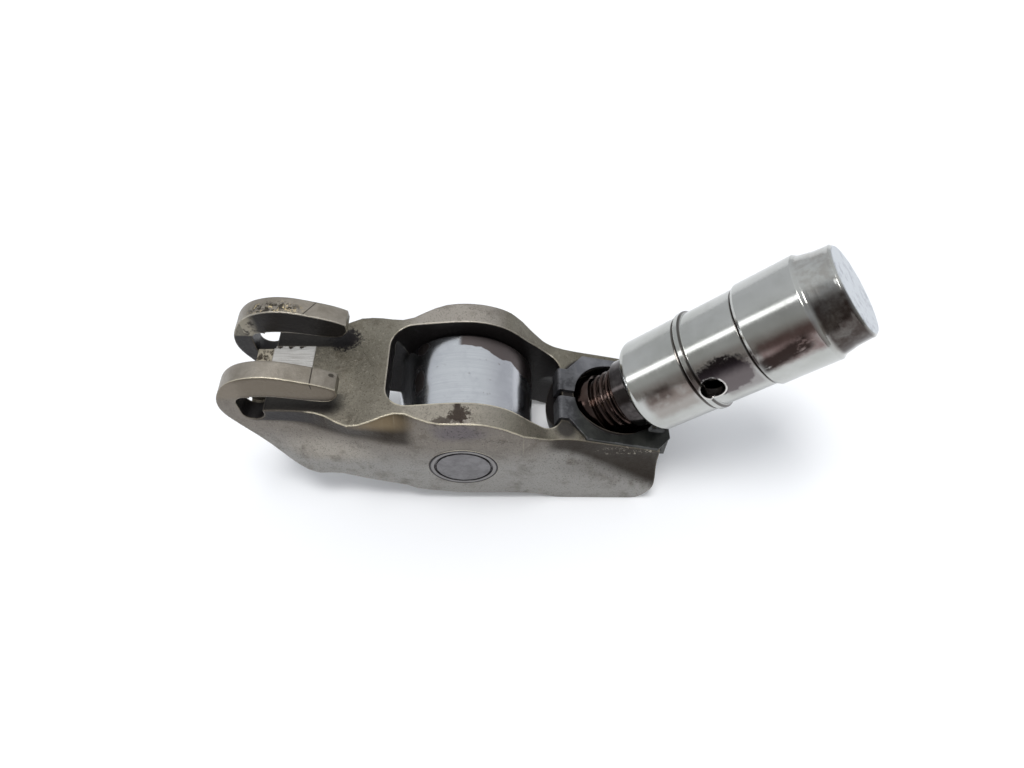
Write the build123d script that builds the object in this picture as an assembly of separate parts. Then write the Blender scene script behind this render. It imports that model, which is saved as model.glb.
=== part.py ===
# Roller finger follower (rocker arm) with its hydraulic lash adjuster.
# Frame, millimetres: origin on the roller axis at mid width, +X from the valve pad
# to the adjuster, +Y along the roller axle, +Z away from the roller's cam side.
# The arm lies on its cam side: the roller and the two wall feet stand on Z = -roller_r.
import math
import os

from build123d import *

os.makedirs("parts", exist_ok=True)

# Roller set
roller_r = 7.9
roller_w = 10.2
roller_side_gap = 0.35       # between the roller's end faces and the walls
roller_bore_r = 5.82
roller_chamfer = 0.45
axle_r = 3.9
axle_fit = 0.01              # radial clearance in the wall bores
stake_outer_r = 3.35         # staking groove in the axle ends
stake_inner_r = 3.05
stake_depth = 0.3
needle_count = 16
needle_fit = 0.03            # radial clearance on both sides of the needles
needle_end_gap = 0.3         # between the needles' ends and the roller's end faces

# Pressed sheet arm
sheet_t = 2.7                # wall and web thickness
window_left = -8.2           # window edge on the valve side
window_right = 11.3          # window edge on the adjuster side
window_corner_r = 2.7
pad_level = 7.7              # web top between the ears
pad_left = -21.4
pad_right = -16.7
pad_rise = 0.15              # ground pad above the web
pad_depth = 0.5              # how far the pad's block reaches into the web
web_left = -23.2             # free end of the web between the ears
arm_right = 22.5             # right end of the walls
end_corner_z = -3.0          # where the end edge starts to round into the foot
foot_left = 12.5             # straight stretch of the walls that stands on the table
foot_right = 19.8
arch_bottom = -6.4           # wall lower edge under the roller
end_web_level = 3.26         # web top at the window's adjuster side edge
end_web_slope = 15.0         # degrees, falling towards the arm's end
trim_over = 0.6              # raw section height above the trimmed outline
section_step = 1.25          # spacing of the lofted cross sections
section_floor = -9.5         # raw sections reach below the trimmed outline
cut_over = 0.3               # cutting bodies start this far outside what they cut

# Guide ears
ear_gap = 6.4                # slot for the valve stem
ear_t = 2.15
ear_right = -12.7            # free end of the ear limbs
ear_tip_z = 11.5
ear_root_z = 3.0             # the ears run down inside the walls to this level
slit_end_x = -21.9           # closed end of the slit under each limb
relief_w = 2.4               # width of the relief hole at the closed end of the slit
relief_x = -22.4
relief_bottom = 6.0
relief_top = 10.2

# Adjuster position: ball centre, and the angle of its axis above the table
ball_x = 15.84
ball_z = -0.39
lean = 43.6
service_lean = 73.6
sweep_steps = 3              # positions between them at which room is cut
sweep_reach = 14.0

# Ball socket
socket_fit = 0.05
socket_wall = 2.1
dome_drop = 1.0              # the dome starts below the web's top surface
dome_side = 0.5              # the dome runs into the walls by this much
shoulder_top = 1.7           # the dome is flattened beside the window from here
shoulder_low = -0.6
shoulder_x = 9.3

# Plunger head, distances along the adjuster axis from the ball centre
ball_r = 4.15
ball_end = 1.5
neck_r = 3.3
rib_r = 3.62
rib_w = 0.5
rib_first = 2.15
rib_pitch = 0.85
rib_count = 3
rib_edge = 0.17
tilt_gap = 0.35              # room round the tilted neck and plunger
shank_start = 4.55
shank_r = 4.15
groove_start = 14.6          # oil groove between the two plunger halves
groove_mid = 15.75
groove_end = 16.9
groove_r = 3.55
face_gap = 0.05
reservoir_r = 2.4
reservoir_start = 4.0
tip_hole_r = 0.6
feed_hole_r = 0.6
lower_end = 21.8
seat_floor = 19.8
seat_r = 0.9
shank_edge = 0.3

# Check valve
check_r = 1.2
check_fit = 0.04
cage_recess_r = 3.0
cage_recess_depth = 0.5
cage_lift = 0.02             # clearance of the cage in its recess
cage_t = 0.3
cage_cup_r = 1.65
cage_depth = 3.1
cage_hole_r = 0.5
cage_hole_at = 1.5
check_wire_r = 0.13
check_coil_r = 0.75
check_turns = 3
spring_on_ball = 0.9         # the check spring starts this far beyond the ball's centre

# Adjuster housing
bore_fit = 0.02
housing_front = 6.8
front_r = 5.5
front_round = 0.95
step_a = 14.2                # narrow rolled edge between the two front lands
step_b = 14.9
edge_r = 5.72
undercut_w = 0.25            # shallow undercut before each step of the barrel
undercut_depth = 0.18
edge_bevel = 0.15
mid_r = 5.42
land_start = 21.0
land_r = 5.72
land_end = 27.4
land_edge = 0.3
waist_r = 5.42               # narrowing tail behind the widest land
waist_at = 27.75
tail_mid_r = 5.08
tail_mid_at = 29.2
tail_r = 4.95
foot_end = 31.1
foot_round = 0.3
floor_t = 2.6
floor_edge = 0.3
oil_hole_r = 1.25
oil_hole_at = 15.75
oil_hole_angle = 252.3       # round the axis, from the downward side towards +Y
return_wire_r = 0.42
return_coil_r = 3.45
return_turns = 4
coil_gap = 0.05
stroke = 1.5

# Retaining clip
clip_t = 0.5
clip_lift = 0.02
clip_shift = -0.4            # it sits a little off centre on the web
clip_front_half = 3.4
clip_half = 5.7
clip_end_half = 5.8
clip_slot = 0.9
clip_hole_r = 4.75
clip_hole_at = 6.1           # along the sloped web from the window edge
clip_shoulder_a = 0.6
clip_shoulder_b = 2.6
tongue_drop = 1.5
tongue_gap = 0.08
tongue_round = 0.45
clip_chamfer = 0.35          # the end corners start this far before the arm's end
band_gap = 0.7               # between the arm's end and the clip's cross band
band_bottom = -3.2
band_half = 4.2
housing_room = 0.3           # left round the housing when it is pushed in

window_half = roller_w / 2 + roller_side_gap
wall_half = window_half + sheet_t
ear_half = ear_gap / 2
ear_outer_half = ear_half + ear_t
needle_len = roller_w - 2 * needle_end_gap
past = 2 * foot_end          # cutting bodies reach past every face


def solid_only(shape):
    """Return the largest solid of a boolean result."""
    parts = shape.solids()
    return max(parts, key=lambda s: s.volume)


def xz_plate(face, y_from, y_to):
    """Extrude a face drawn in the X-Z plane between two Y values."""
    plate = extrude(face, amount=y_to - y_from, dir=(0, 1, 0))
    return Pos(0, y_from, 0) * plate


def xz_edge_spline(points, tangents=None):
    """Spline through points given in the X-Z plane."""
    pts = [Vector(x, 0, z) for x, z in points]
    return Edge.make_spline(pts, tangents=tangents)


def xz_line(a, b):
    """Straight edge between two X-Z points."""
    return Edge.make_line(Vector(a[0], 0, a[1]), Vector(b[0], 0, b[1]))


def box_between(x0, x1, y0, y1, z0, z1):
    """Box given by its six planes."""
    centre = Pos((x0 + x1) / 2, (y0 + y1) / 2, (z0 + z1) / 2)
    return centre * Box(x1 - x0, y1 - y0, z1 - z0)


def both_sides(shape):
    """The shape and its mirror image about the symmetry plane."""
    return shape + mirror(shape, about=Plane.XZ)


def turned(points):
    """Body of revolution round Z from (radius, height) points."""
    profile = make_face(Polyline(*[(r, 0, h) for r, h in points], close=True))
    return revolve(profile, Axis.Z)


def end_web_z(x):
    """Height of the sloped web at the adjuster end."""
    return end_web_level - (x - window_right) * math.tan(math.radians(end_web_slope))


# ---- Arm -------------------------------------------------------------------
# Side outline: ear limb, rounded nose, belly and feet, end edge, sloped web, hump.
ear_tip = (ear_right, ear_tip_z)
belly = [ear_tip, (-14.4, 12.4), (-16.3, 13.05), (-18.2, 13.6), (-20.0, 13.8),
         (-21.8, 13.55), (-23.2, 12.95), (-24.5, 11.7), (-25.35, 10.1), (-25.65, 8.5),
         (-25.45, 7.1), (-24.8, 5.6), (-23.9, 3.9), (-22.7, 1.9), (-21.2, 0.0),
         (-19.5, -1.6), (-17.6, -2.6), (-15.0, -3.0), (-12.2, -3.55), (-9.8, -4.1),
         (-7.6, -4.85), (-5.3, -5.5), (-2.5, -6.1), (0.5, arch_bottom)]
level = Vector(1, 0, 0)
upright = Vector(0, 0, 1)
step_points = [(5.5, arch_bottom), (8.2, -6.8), (10.2, -7.55), (foot_left, -roller_r)]
corner_points = [(foot_right, -roller_r), (21.2, -7.2), (22.05, -5.9), (arm_right, end_corner_z)]
hump = [(window_right, end_web_level), (10.4, 3.5), (9.5, 3.9), (8.6, 4.65), (7.4, 5.8),
        (6.3, 6.95), (5.2, 7.95), (4.0, 8.65), (2.2, 9.25), (0.2, 9.45),
        (-2.2, 9.3), (-4.3, 9.05), (-6.4, 8.8), (-9.0, 8.3), (-11.0, 7.85),
        (ear_right, pad_level)]
outline = Wire([
    xz_edge_spline(belly),
    xz_line(belly[-1], step_points[0]),
    xz_edge_spline(step_points, [level, level]),
    xz_line(step_points[-1], corner_points[0]),
    xz_edge_spline(corner_points, [level, upright]),
    xz_line(corner_points[-1], (arm_right, end_web_z(arm_right))),
    xz_line((arm_right, end_web_z(arm_right)), hump[0]),
    xz_edge_spline(hump),
    xz_line(hump[-1], ear_tip),
])
side_face = Face(outline)
side_block = xz_plate(side_face, -past, past)

# Cross sections along the arm: x, top, then how far the sheet lies inside the widest
# half width at the top edge, the bend, the neck, the flank and the straight skirt.
stations = [
    (-27.0, 8.0, 2.8, 2.8, 2.8, 2.8, 2.8),
    (-22.0, 7.7, 2.85, 2.8, 2.75, 2.65, 2.4),
    (-17.6, 7.7, 2.75, 2.65, 2.45, 1.65, 1.15),
    (-15.0, 7.7, 2.5, 2.1, 1.95, 1.35, 1.05),
    (-12.0, 7.75, 0.75, 1.05, 1.4, 0.95, 0.7),
    (-9.6, 8.15, 1.2, 1.05, 1.05, 0.6, 0.4),
    (-7.2, 8.65, 2.2, 1.15, 0.65, 0.35, 0.25),
    (-5.6, 8.9, 2.1, 0.85, 0.4, 0.25, 0.15),
    (-3.8, 9.15, 0.85, 0.35, 0.2, 0.1, 0.05),
    (-1.6, 9.4, 0.08, 0.0, 0.0, 0.0, 0.0),
    (2.5, 9.2, 0.08, 0.0, 0.0, 0.0, 0.0),
    (6.4, 6.9, 0.2, 0.1, 0.0, 0.0, 0.0),
    (8.8, 4.4, 1.25, 0.95, 0.55, 0.1, 0.0),
    (11.5, 3.2, 1.85, 1.75, 1.4, 0.25, 0.0),
    (16.5, 1.9, 1.9, 1.85, 1.55, 0.25, 0.0),
    (23.0, 0.1, 1.95, 1.9, 1.65, 0.35, 0.05),
]
section_drops = (1.3, 3.0, 5.4, 7.6)


def arm_section(station, inset, top_gap, floor):
    """Closed cross section of the arm, or of the channel under its web."""
    x, top = station[0], station[1] + top_gap
    halves = [wall_half - h - inset for h in station[2:]]
    halves.append(halves[-1])
    heights = [top] + [station[1] - d for d in section_drops] + [floor]
    side = [Vector(x, y, z) for y, z in zip(halves, heights)]
    other = [Vector(x, -y, z) for y, z in zip(halves, heights)]
    return Wire([
        Edge.make_spline(side),
        Edge.make_line(side[-1], other[-1]),
        Edge.make_spline(list(reversed(other))),
        Edge.make_line(other[0], side[0]),
    ])


def eased_station(x):
    """Station values at x, on a smooth curve through the listed stations."""
    last = len(stations) - 2
    i = max(k for k in range(last + 1) if stations[k][0] <= x or k == 0)
    before, lo, hi = stations[max(i - 1, 0)], stations[i], stations[i + 1]
    after = stations[min(i + 2, last + 1)]
    span = hi[0] - lo[0]
    u = (x - lo[0]) / span
    values = [x]
    for k in range(1, len(lo)):
        slope_lo = (hi[k] - before[k]) / (hi[0] - before[0]) * span
        slope_hi = (after[k] - lo[k]) / (after[0] - lo[0]) * span
        value = (lo[k] * (2 * u ** 3 - 3 * u ** 2 + 1) + slope_lo * (u ** 3 - 2 * u ** 2 + u)
                 + hi[k] * (3 * u ** 2 - 2 * u ** 3) + slope_hi * (u ** 3 - u ** 2))
        values.append(value if k == 1 else max(value, 0.0))
    return values


section_count = math.ceil((stations[-1][0] - stations[0][0]) / section_step)
fine = [eased_station(stations[0][0] + (stations[-1][0] - stations[0][0]) * i / section_count)
        for i in range(section_count + 1)]
raw_arm = Solid.make_loft([arm_section(s, 0, trim_over, section_floor) for s in fine], True)
channel = Solid.make_loft([arm_section(s, sheet_t, -sheet_t, section_floor - cut_over)
                           for s in stations], True)

above_pad = box_between(-past, ear_right, -past, past, pad_level, past)
arm = raw_arm & (side_block - above_pad)
end_room = box_between(-past, web_left, -ear_half, ear_half, -past, past)
valve_channel = box_between(web_left - cut_over, window_left + cut_over, -ear_half, ear_half,
                            -past, pad_level - sheet_t)

limb_end = (-14.1, 9.45)
limb_under = [(slit_end_x, 10.3), (-20.4, 10.4), (-18.3, 10.15), (-16.1, 9.7), limb_end]
limb_tip = [limb_end, (-13.05, 10.0), (ear_right + cut_over, ear_tip_z)]
slit_wire = Wire([
    xz_edge_spline(limb_under),
    xz_edge_spline(limb_tip, [level, upright]),
    xz_line(limb_tip[-1], (ear_right + cut_over, pad_level)),
    xz_line((ear_right + cut_over, pad_level), (slit_end_x, pad_level)),
    xz_line((slit_end_x, pad_level), limb_under[0]),
])
slit = xz_plate(Face(slit_wire), ear_half - cut_over, past)
relief_shape = Plane.XZ * (Pos(relief_x, (relief_bottom + relief_top) / 2)
                           * SlotOverall(relief_top - relief_bottom, relief_w, rotation=90))
relief = xz_plate(relief_shape.face(), ear_half - cut_over, past)
ear_zone = box_between(-past, ear_right, ear_half, ear_outer_half, ear_root_z, past)
ear = (side_block & ear_zone) - slit

window = Pos((window_left + window_right) / 2, 0, 0) * extrude(
    RectangleRounded(window_right - window_left, 2 * window_half, window_corner_r),
    amount=past, both=True)

pad = box_between(pad_left, pad_right, -ear_half, ear_half,
                  pad_level - pad_depth, pad_level + pad_rise)
arm = arm - channel - window - end_room - valve_channel
arm = arm + both_sides(ear) + pad
arm = arm - both_sides(relief)

# Ball socket pressed into the sloped web, with room for the tilted plunger.
ball_centre = Vector(ball_x, 0, ball_z)
axis_dir = Vector(math.cos(math.radians(lean)), 0, math.sin(math.radians(lean)))
axis_down = Vector(math.sin(math.radians(lean)), 0, -math.cos(math.radians(lean)))
seat = Location(Plane(origin=ball_centre, x_dir=axis_down, z_dir=axis_dir))


def along(angle, radius, start, end):
    """Cylinder from the ball centre at an angle above the table."""
    direction = Vector(math.cos(math.radians(angle)), 0, math.sin(math.radians(angle)))
    plane = Plane(origin=ball_centre + direction * start, x_dir=(0, 1, 0), z_dir=direction)
    return Solid.make_cylinder(radius, end - start, plane)


web_plane = Plane(origin=(window_right, 0, end_web_level),
                  x_dir=(math.cos(math.radians(end_web_slope)), 0,
                         -math.sin(math.radians(end_web_slope))),
                  z_dir=(math.sin(math.radians(end_web_slope)), 0,
                         math.cos(math.radians(end_web_slope))))
over_web = web_plane.location * box_between(-past, past, -past, past, -dome_drop, past)
dome = Pos(ball_x, 0, ball_z) * Sphere(ball_r + socket_fit + socket_wall)
shoulder = Wire.make_polygon([Vector(x, 0, z) for x, z in (
    (window_right, past), (window_right, shoulder_top), (shoulder_x, shoulder_low),
    (-past, shoulder_low), (-past, past))])
dome = dome - over_web - xz_plate(Face(shoulder), -past, past)
dome = dome & box_between(-past, arm_right, -window_half - dome_side, window_half + dome_side,
                          -past, past)
socket = Pos(ball_x, 0, ball_z) * Sphere(ball_r + socket_fit)
arm = arm + dome - socket
for step in range(sweep_steps + 1):
    angle = lean + (service_lean - lean) * step / sweep_steps
    arm = arm - along(angle, rib_r + tilt_gap, 0, shank_start)
arm = arm - along(lean, shank_r + tilt_gap, 0, sweep_reach)
axle_bore = Rot(90, 0, 0) * Cylinder(axle_r + axle_fit, 4 * wall_half)
arm = solid_only(arm - axle_bore)

# ---- Roller, axle and needles ------------------------------------------------
roller = Cylinder(roller_r, roller_w)
roller = chamfer(roller.edges().filter_by(GeomType.CIRCLE), roller_chamfer)
roller = Rot(90, 0, 0) * (roller - Cylinder(roller_bore_r, roller_w * 2))

stake = Cylinder(stake_outer_r, stake_depth) - Cylinder(stake_inner_r, stake_depth)
axle_len = 2 * wall_half
axle = Cylinder(axle_r, axle_len)
for end in (-1, 1):
    axle = axle - Pos(0, 0, end * (axle_len - stake_depth) / 2) * stake
axle = Rot(90, 0, 0) * axle

needle_r = (roller_bore_r - axle_r) / 2 - needle_fit
needle_pitch_r = (roller_bore_r + axle_r) / 2
needle = Cylinder(needle_r, needle_len)
needles = Compound([Rot(90, 0, 0) * Rot(0, 0, 360 / needle_count * i)
                    * Pos(needle_pitch_r, 0, 0) * needle for i in range(needle_count)])

# ---- Plunger head: ball, ribbed neck and upper shank --------------------------
neck = Pos(0, 0, shank_start / 2) * Cylinder(neck_r, shank_start)
head = (Sphere(ball_r) & box_between(-past, past, -past, past, -past, ball_end)) + neck
for i in range(rib_count):
    rib = Pos(0, 0, rib_first + rib_pitch * i) * Cylinder(rib_r, rib_w)
    head = head + chamfer(rib.edges().filter_by(GeomType.CIRCLE), rib_edge)
shank = turned([(0, shank_start), (shank_r - shank_edge, shank_start),
                (shank_r, shank_start + shank_edge), (shank_r, groove_start),
                (groove_r, groove_start), (groove_r, groove_mid), (0, groove_mid)])
head = head + shank
head = head - turned([(0, reservoir_start - reservoir_r), (reservoir_r, reservoir_start),
                      (reservoir_r, past), (0, past)])
head = head - Cylinder(tip_hole_r, 2 * (ball_r + reservoir_start))
plunger_head = seat * solid_only(head)

# ---- Lower plunger with the check valve ----------------------------------------
lower = turned([(reservoir_r, groove_mid + face_gap), (groove_r, groove_mid + face_gap),
                (groove_r, groove_end), (shank_r, groove_end),
                (shank_r, lower_end - shank_edge), (shank_r - shank_edge, lower_end),
                (cage_recess_r, lower_end), (cage_recess_r, lower_end - cage_recess_depth),
                (seat_r, lower_end - cage_recess_depth), (seat_r, seat_floor),
                (reservoir_r, seat_floor)])
feed = Pos(0, 0, (groove_mid + groove_end) / 2) * Rot(90, 0, 0) * Cylinder(feed_hole_r, past)
lower_plunger = seat * (lower - feed)

seat_level = lower_end - cage_recess_depth
check_at = seat_level + math.sqrt(check_r ** 2 - seat_r ** 2) + check_fit
check_ball = seat * Pos(0, 0, check_at) * Sphere(check_r)

cage_base = seat_level + cage_lift
cage_top = cage_base + cage_depth
cage = turned([(cage_cup_r, cage_base), (cage_recess_r - cage_lift, cage_base),
               (cage_recess_r - cage_lift, cage_base + cage_t),
               (cage_cup_r + cage_t, cage_base + cage_t), (cage_cup_r + cage_t, cage_top),
               (0, cage_top), (0, cage_top - cage_t), (cage_cup_r, cage_top - cage_t)])
for i in range(2):
    slot = Pos(0, 0, cage_base + cage_hole_at) * Rot(90, 0, 90 * i) * Cylinder(cage_hole_r, past)
    cage = cage - slot
ball_cage = seat * cage


def coil(bottom, top, coil_r, wire_r, turns):
    """Helical wire spring standing between two heights."""
    rise = top - bottom - 2 * wire_r
    path = Pos(0, 0, bottom + wire_r) * Helix(rise / turns, rise, coil_r)
    start = path @ 0
    section = Plane(origin=start, z_dir=path % 0) * Circle(wire_r)
    return sweep(section, path=path, is_frenet=True)


check_spring = seat * coil(check_at + spring_on_ball, cage_top - cage_t - coil_gap,
                           check_coil_r, check_wire_r, check_turns)

# ---- Adjuster housing -----------------------------------------------------------
bore_r = shank_r + bore_fit
chamber_floor = foot_end - floor_t
outer = [(bore_r, housing_front), (front_r, housing_front), (front_r, step_a - undercut_w),
         (front_r - undercut_depth, step_a), (edge_r, step_a + edge_bevel), (edge_r, step_b),
         (mid_r, step_b + edge_bevel), (mid_r, land_start - undercut_w),
         (mid_r - undercut_depth, land_start), (land_r - edge_bevel, land_start),
         (land_r, land_start + land_edge), (land_r, land_end),
         (waist_r, waist_at), (tail_mid_r, tail_mid_at), (tail_r, foot_end - 2 * foot_round),
         (tail_r, foot_end - foot_round), (tail_r - foot_round, foot_end), (0, foot_end),
         (0, chamber_floor), (bore_r - floor_edge, chamber_floor),
         (bore_r, chamber_floor - floor_edge)]
housing = turned(outer)
front_edge = housing.edges().group_by(Axis.Z)[0].sort_by(SortBy.RADIUS)[-1]
housing = fillet(front_edge, front_round)
oil_hole = Pos(0, 0, oil_hole_at) * Rot(0, 0, oil_hole_angle) * Pos(edge_r, 0, 0) \
    * Rot(0, 90, 0) * Cylinder(oil_hole_r, edge_r)
adjuster_housing = seat * solid_only(housing - oil_hole)
return_spring = seat * coil(lower_end + coil_gap, chamber_floor - coil_gap, return_coil_r,
                            return_wire_r, return_turns)

# ---- Retaining clip ---------------------------------------------------------------
slope_cos = math.cos(math.radians(end_web_slope))
band_x = arm_right + band_gap
corner_at = (arm_right - clip_chamfer - window_right) / slope_cos
band_len = (band_x + clip_t - window_right) / slope_cos
tongue_out = tongue_gap + clip_t
plan = make_face(Polyline(
    (-tongue_out, -clip_front_half), (clip_shoulder_a, -clip_front_half),
    (clip_shoulder_b, -clip_half), (corner_at, -clip_end_half), (band_len, -band_half),
    (band_len, band_half), (corner_at, clip_end_half), (clip_shoulder_b, clip_half),
    (clip_shoulder_a, clip_front_half), (-tongue_out, clip_front_half), close=True))
clip = Pos(0, 0, clip_lift) * extrude(plan, amount=clip_t)
clip = clip + box_between(-tongue_out, -tongue_gap, -clip_front_half, clip_front_half,
                          -tongue_drop, clip_lift + clip_t)
clip = fillet(clip.edges().filter_by(Axis.Y).sort_by(Axis.X)[:3].sort_by(Axis.Z)[-1:], tongue_round)
clip = clip - Pos(clip_hole_at, 0, 0) * Cylinder(clip_hole_r, past)
clip = clip - box_between(-past, clip_hole_at, -clip_slot / 2, clip_slot / 2, -past, past)
clip = web_plane.location * clip
band_top = end_web_z(band_x + clip_t) + clip_t
clip = clip + box_between(band_x, band_x + clip_t, -band_half, band_half, band_bottom, band_top)
clip = Pos(0, clip_shift, 0) * clip
clip = clip - along(lean, shank_r + tilt_gap, 0, sweep_reach)
room_front = housing_front - stroke - housing_room
room_r = front_r + housing_room
clip = clip - seat * turned([(0, room_front), (room_r - front_round, room_front),
                             (room_r, room_front + front_round), (room_r, past), (0, past)])
retaining_clip = solid_only(clip)

nodes = {
    "arm_body": arm,
    "roller_axle": axle,
    "cam_roller": roller,
    "needle_rollers": needles,
    "plunger_head": plunger_head,
    "lower_plunger": lower_plunger,
    "check_ball": check_ball,
    "ball_cage": ball_cage,
    "check_spring": check_spring,
    "adjuster_housing": adjuster_housing,
    "return_spring": return_spring,
    "retaining_clip": retaining_clip,
}
for name, shape in nodes.items():
    export_step(shape, f"parts/{name}.step")
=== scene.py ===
import math

import bpy
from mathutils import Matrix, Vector


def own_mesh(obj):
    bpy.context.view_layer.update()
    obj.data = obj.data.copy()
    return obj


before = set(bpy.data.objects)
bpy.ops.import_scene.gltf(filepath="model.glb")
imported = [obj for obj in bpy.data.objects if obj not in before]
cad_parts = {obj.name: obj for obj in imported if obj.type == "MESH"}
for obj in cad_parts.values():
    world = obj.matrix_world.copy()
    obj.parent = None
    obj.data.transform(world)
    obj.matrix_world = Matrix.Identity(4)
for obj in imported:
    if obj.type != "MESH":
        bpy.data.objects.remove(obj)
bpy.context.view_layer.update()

# ---- The part's frame, in millimetres --------------------------------------
MM = 0.001                                # metres in a millimetre
TABLE_Z = -7.9                            # the roller and the feet of the walls stand here
BALL = Vector((15.84, 0.0, -0.39))        # centre of the ball joint
LEAN = math.radians(43.6)                 # how far the adjuster rises from the table
AXIS = Vector((math.cos(LEAN), 0.0, math.sin(LEAN)))
DOWN = Vector((math.sin(LEAN), 0.0, -math.cos(LEAN)))    # across AXIS, towards the table
HOLE_MOUTH = (26.23, -4.62, 11.54)        # the adjuster's oil hole, and the way it faces
HOLE_DIR = (-0.2097, -0.9527, 0.2202)


# ---- Node helpers ----------------------------------------------------------
class Net:
    """Short calls for building a node tree. A value may be a number or a socket."""

    def __init__(self, tree):
        self.tree = tree
        self.tree.nodes.clear()

    def node(self, kind, **props):
        new = self.tree.nodes.new(kind)
        for key, value in props.items():
            setattr(new, key, value)
        return new

    def link(self, output, socket):
        self.tree.links.new(output, socket)

    def put(self, socket, value):
        if isinstance(value, bpy.types.NodeSocket):
            self.link(value, socket)
        else:
            socket.default_value = value

    def math(self, operation, a, b=0.0, clamp=False):
        n = self.node("ShaderNodeMath", operation=operation, use_clamp=clamp)
        self.put(n.inputs[0], a)
        self.put(n.inputs[1], b)
        return n.outputs[0]

    def times(self, *values):
        out = values[0]
        for value in values[1:]:
            out = self.math("MULTIPLY", out, value)
        return out

    def most(self, *values):
        out = values[0]
        for value in values[1:]:
            out = self.math("MAXIMUM", out, value)
        return out

    def ramp(self, value, low, high, out_low=0.0, out_high=1.0):
        """Smooth step from out_low at low to out_high at high."""
        n = self.node("ShaderNodeMapRange", interpolation_type="SMOOTHSTEP")
        self.put(n.inputs["Value"], value)
        n.inputs["From Min"].default_value = low
        n.inputs["From Max"].default_value = high
        n.inputs["To Min"].default_value = out_low
        n.inputs["To Max"].default_value = out_high
        return n.outputs["Result"]

    def band(self, value, low, high, soft):
        """1 between low and high, 0 outside."""
        up = self.ramp(value, low - soft, low + soft)
        down = self.ramp(value, high - soft, high + soft, 1.0, 0.0)
        return self.times(up, down)

    def blend(self, a, b, factor):
        """Mix of two numbers."""
        n = self.node("ShaderNodeMix", data_type="FLOAT")
        self.put(n.inputs["Factor"], factor)
        self.put(n.inputs[2], a)
        self.put(n.inputs[3], b)
        return n.outputs[0]

    def mix(self, a, b, factor):
        """Mix of two colours."""
        n = self.node("ShaderNodeMix", data_type="RGBA")
        self.put(n.inputs["Factor"], factor)
        for socket, colour in ((n.inputs[6], a), (n.inputs[7], b)):
            fixed = not isinstance(colour, bpy.types.NodeSocket)
            self.put(socket, (*colour, 1.0) if fixed else colour)
        return n.outputs[2]

    def paint(self, under, colour, *masks):
        """Colour laid over what is under it, as far as all its masks let it."""
        return self.mix(under, colour, self.times(*masks))

    def mix_shader(self, factor, first, second):
        n = self.node("ShaderNodeMixShader")
        self.put(n.inputs[0], factor)
        self.link(first, n.inputs[1])
        self.link(second, n.inputs[2])
        return n.outputs[0]


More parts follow.
